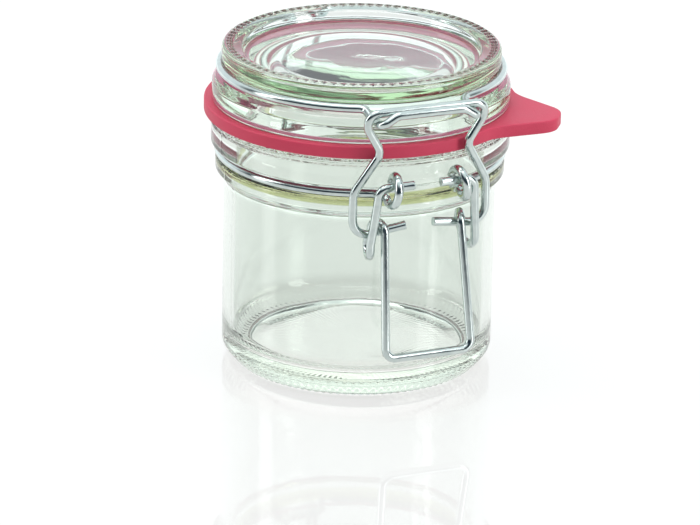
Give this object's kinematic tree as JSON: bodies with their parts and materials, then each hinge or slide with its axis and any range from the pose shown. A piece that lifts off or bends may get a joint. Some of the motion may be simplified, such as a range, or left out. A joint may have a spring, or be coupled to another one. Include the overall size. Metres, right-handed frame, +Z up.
{
  "type": "clip top jar",
  "caption": "Small clear glass preserving jar with a hinged glass lid, a red rubber gasket with a pull tab, and a bent wire lever closure, shut and empty.",
  "frame": {"origin": "in the plane of the ring it stands on, midway across the whole jar with its gasket tab, which is 1.9 mm to the right of the glass's own axis (that axis is parallel to Z at x = -1.9 mm, y = 0)", "axes": "+Z up, parallel to the glass's axis, the closure in front at -Y, the lid's hinge behind at +Y, the gasket's pull tab towards +X and -Y"},
  "size_m": [0.0912, 0.1018, 0.0913],
  "materials": {
    "clear_glass": "clear pressed soda-lime glass, faintly green where it is thick, glossy",
    "red_rubber": "smooth matt pinkish red rubber",
    "bright_wire": "bright zinc-plated steel wire, smooth and shiny"
  },
  "bodies": {
    "jar": {"jar_glass": "clear_glass", "neck_wire": "bright_wire"},
    "lid": {"lid_glass": "clear_glass", "lid_wire": "bright_wire", "gasket": "red_rubber"},
    "lever": {"lever": "bright_wire"},
    "link": {"link": "bright_wire"}
  },
  "joints": [
    {"name": "lid_hinge", "type": "hinge", "parent": "jar", "child": "lid", "pos_m": [-0.0019, 0.0465, 0.0675], "axis": [-1, 0, 0], "range_deg": [0, 105]},
    {"name": "lever_pivot", "type": "hinge", "parent": "jar", "child": "lever", "pos_m": [-0.0019, -0.0466, 0.0652], "axis": [-1, 0, 0], "range_deg": [0, 40]},
    {"name": "link_pivot", "type": "hinge", "parent": "lever", "child": "link", "pos_m": [-0.0019, -0.0417, 0.0511], "axis": [1, 0, 0], "range_deg": [0, 150]}
  ],
  "couplings": [
    {"joint": "lever_pivot", "follows": "lid_hinge", "ratio": 0.38},
    {"joint": "link_pivot", "follows": "lid_hinge", "ratio": 1.425}
  ]
}
